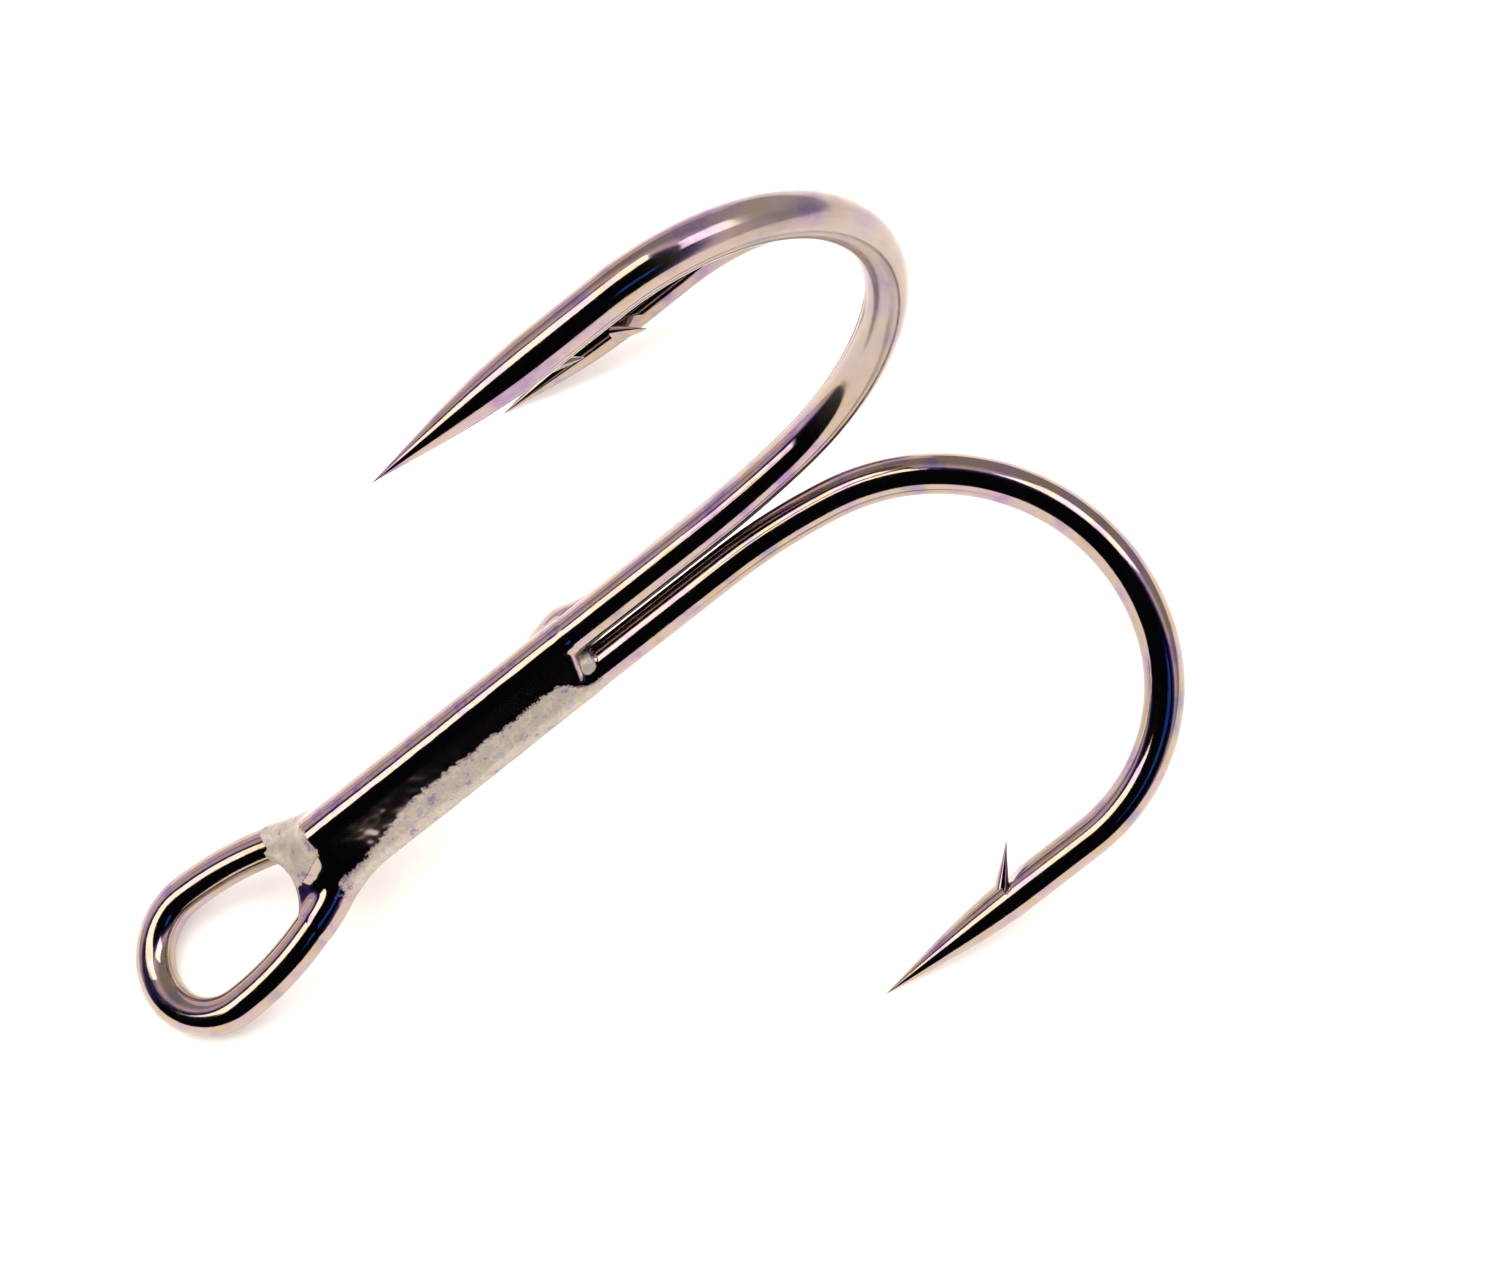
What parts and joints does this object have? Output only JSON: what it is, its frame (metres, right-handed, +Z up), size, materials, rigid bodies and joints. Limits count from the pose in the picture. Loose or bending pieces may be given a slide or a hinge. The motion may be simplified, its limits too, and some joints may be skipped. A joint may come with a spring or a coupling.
{
  "type": "treble hook",
  "caption": "Barbed fishing hook whose three points are set evenly round one shank, with an oval line eye at the other end, made of a doubled wire and a single wire joined by braze.",
  "frame": {"origin": "bottom centre of the bounding box, on the surface that the hook lies on", "axes": "+X runs along the shank from the eye to the bends, seen from above; +Z is up from the surface, and the single hook stands up; the double hook's points are at +Y and -Y"},
  "size_m": [0.0418, 0.0334, 0.0304],
  "materials": {
    "hook_wire": "high-carbon steel wire, polished and plated black nickel",
    "braze": "brazing metal under the same black nickel plating, slightly satin"
  },
  "bodies": {
    "root": {"double_hook": "hook_wire", "single_hook": "hook_wire", "front_braze_fillet": "braze", "rear_braze_fillet": "braze", "under_braze_fillet": "braze", "braze_core": "braze", "throat_web": "braze"}
  },
  "joints": []
}
